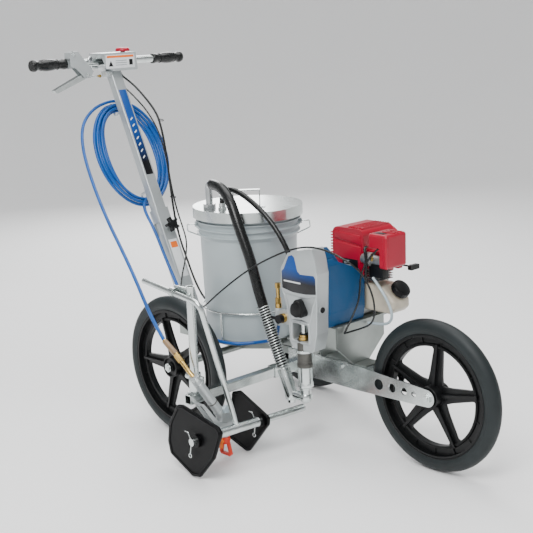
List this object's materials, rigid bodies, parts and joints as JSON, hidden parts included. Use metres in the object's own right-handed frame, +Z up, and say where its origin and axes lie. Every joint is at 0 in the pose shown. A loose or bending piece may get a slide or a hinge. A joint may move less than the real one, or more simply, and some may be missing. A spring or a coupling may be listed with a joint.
{
  "type": "line striping machine",
  "caption": "Three-wheeled walk-behind machine with a pail, an engine-driven piston pump and a spray gun held between two shields.",
  "frame": {"origin": "on the ground, in the centre plane, under the middle of the rear axle", "axes": "+X forward, from the rear axle to the front wheel; +Y to the machine's left; +Z up"},
  "size_m": [1.5592, 0.7937, 1.092],
  "materials": {
    "zinc": "bright zinc plate",
    "chrome": "polished",
    "silver_paint": "satin silver-grey paint",
    "blue_paint": "satin blue paint",
    "cast_grey": "satin casting",
    "engine_metal": "cast aluminium",
    "brass": "machined brass",
    "black_plastic": "moulded black",
    "red_plastic": "moulded red",
    "tank_plastic": "translucent white moulding",
    "pail_plastic": "pale grey-white moulding",
    "orange_plastic": "moulded orange-red",
    "yellow_plastic": "moulded yellow-orange",
    "blue_hose": "smooth blue cover",
    "black_rubber": "black rubber",
    "tyre_rubber": "dark grey smooth tyre"
  },
  "bodies": {
    "machine": {"air_cleaner": "red_plastic", "axle_shafts": "zinc", "control_box": "silver_paint", "control_cables": "black_rubber", "drain_hose": "black_rubber", "engine_block": "engine_metal", "engine_bracket": "zinc", "engine_shroud": "red_plastic", "fork_bars": "zinc", "fuel_tank": "tank_plastic", "gear_housing": "silver_paint", "gun_arm": "zinc", "gun_holder": "zinc", "gun_post": "zinc", "hand_grips": "black_rubber", "handlebar": "zinc", "hex_fasteners": "zinc", "hose_coil": "blue_hose", "hose_return": "blue_hose", "hose_swivel": "brass", "intake_valve": "zinc", "lever_bracket": "silver_paint", "main_frame": "zinc", "motor_cover": "blue_paint", "packing_nut": "brass", "pail": "pail_plastic", "pail_basket": "zinc", "pail_lid": "zinc", "paint_hose": "blue_hose", "prime_valve": "brass", "pump_cylinder": "cast_grey", "spray_gun": "silver_paint", "spring_guard": "zinc", "stem_sleeve": "silver_paint", "stem_tube": "silver_paint", "suction_elbow": "chrome", "suction_hose": "black_rubber", "suction_tube": "zinc", "tip_guard": "orange_plastic"},
    "front_wheel": {"front_tyre": "tyre_rubber", "front_rim": "black_plastic"},
    "right_wheel": {"right_tyre": "tyre_rubber", "right_rim": "black_plastic"},
    "left_wheel": {"left_tyre": "tyre_rubber", "left_rim": "black_plastic"},
    "squeeze_lever": {"hand_lever": "zinc"},
    "trigger": {"gun_trigger": "silver_paint"},
    "stop_button": {"kill_switch": "red_plastic"},
    "prime_lever": {"prime_handle": "black_plastic"},
    "pressure_dial": {"pressure_knob": "black_plastic"},
    "pump_rod": {"piston_rod": "zinc"},
    "starter_grip": {"recoil_handle": "black_plastic"},
    "tank_cap": {"fuel_cap": "black_plastic"},
    "clamp_knob": {"stem_knob": "black_plastic"},
    "bail": {"pail_bail": "zinc"},
    "tip_key": {"spray_tip": "yellow_plastic"},
    "shields": {"shield_carrier": "zinc", "right_shield": "black_plastic", "left_shield": "black_plastic", "hairpin_clips": "zinc"}
  },
  "joints": [
    {"name": "front_wheel_spin", "type": "hinge", "parent": "machine", "child": "front_wheel", "pos_m": [0.716, 0, 0.2032], "axis": [0, 1, 0], "continuous": true},
    {"name": "right_wheel_spin", "type": "hinge", "parent": "machine", "child": "right_wheel", "pos_m": [0, -0.2725, 0.2032], "axis": [0, 1, 0], "continuous": true},
    {"name": "left_wheel_spin", "type": "hinge", "parent": "machine", "child": "left_wheel", "pos_m": [0, 0.2725, 0.2032], "axis": [0, 1, 0], "continuous": true},
    {"name": "hand_lever_squeeze", "type": "hinge", "parent": "machine", "child": "squeeze_lever", "pos_m": [-0.6, -0.112, 1.01], "axis": [-1, 0, 0], "range_deg": [0, 20], "stiffness_Nm_per_rad": 1.2, "springref_deg": -8.59},
    {"name": "gun_trigger_pull", "type": "hinge", "parent": "machine", "child": "trigger", "pos_m": [0.27, -0.347, 0.112], "axis": [-1, 0, 0], "range_deg": [0, 6]},
    {"name": "stop_button_press", "type": "slide", "parent": "machine", "child": "stop_button", "axis": [0, 0, -1], "range_m": [0, 0.0025], "stiffness_N_per_m": 400},
    {"name": "prime_lever_turn", "type": "hinge", "parent": "machine", "child": "prime_lever", "pos_m": [0.31, -0.157, 0.37], "axis": [0, -1, 0], "range_deg": [0, 90]},
    {"name": "pressure_dial_turn", "type": "hinge", "parent": "machine", "child": "pressure_dial", "pos_m": [0.4, -0.17, 0.416], "axis": [0, -1, 0], "range_deg": [-140, 140]},
    {"name": "pump_rod_stroke", "type": "slide", "parent": "machine", "child": "pump_rod", "axis": [0, 0, 1], "range_m": [0, 0.03]},
    {"name": "starter_pull", "type": "slide", "parent": "machine", "child": "starter_grip", "axis": [1, 0, 0], "range_m": [0, 0.08], "stiffness_N_per_m": 30},
    {"name": "tank_cap_turn", "type": "hinge", "parent": "machine", "child": "tank_cap", "pos_m": [0.534, 0.08, 0.437], "axis": [0.7071, 0, 0.7071], "range_deg": [0, 270]},
    {"name": "clamp_knob_turn", "type": "hinge", "parent": "machine", "child": "clamp_knob", "pos_m": [-0.37303, 0, 0.519], "axis": [0.9095, 0, 0.4157], "range_deg": [0, 350]},
    {"name": "bail_lift", "type": "hinge", "parent": "machine", "child": "bail", "pos_m": [0.0278, 0, 0.583], "axis": [0.6909, 0.723, 0], "range_deg": [0, 115]},
    {"name": "tip_key_turn", "type": "hinge", "parent": "machine", "child": "tip_key", "pos_m": [0.27, -0.335, 0.064], "axis": [0, -1, 0], "range_deg": [0, 180]},
    {"name": "shield_lift", "type": "hinge", "parent": "machine", "child": "shields", "pos_m": [0.184, -0.42, 0.479], "axis": [0, -1, 0], "range_deg": [0, 6]}
  ],
  "couplings": [
    {"joint": "gun_trigger_pull", "follows": "hand_lever_squeeze", "ratio": 0.3}
  ]
}
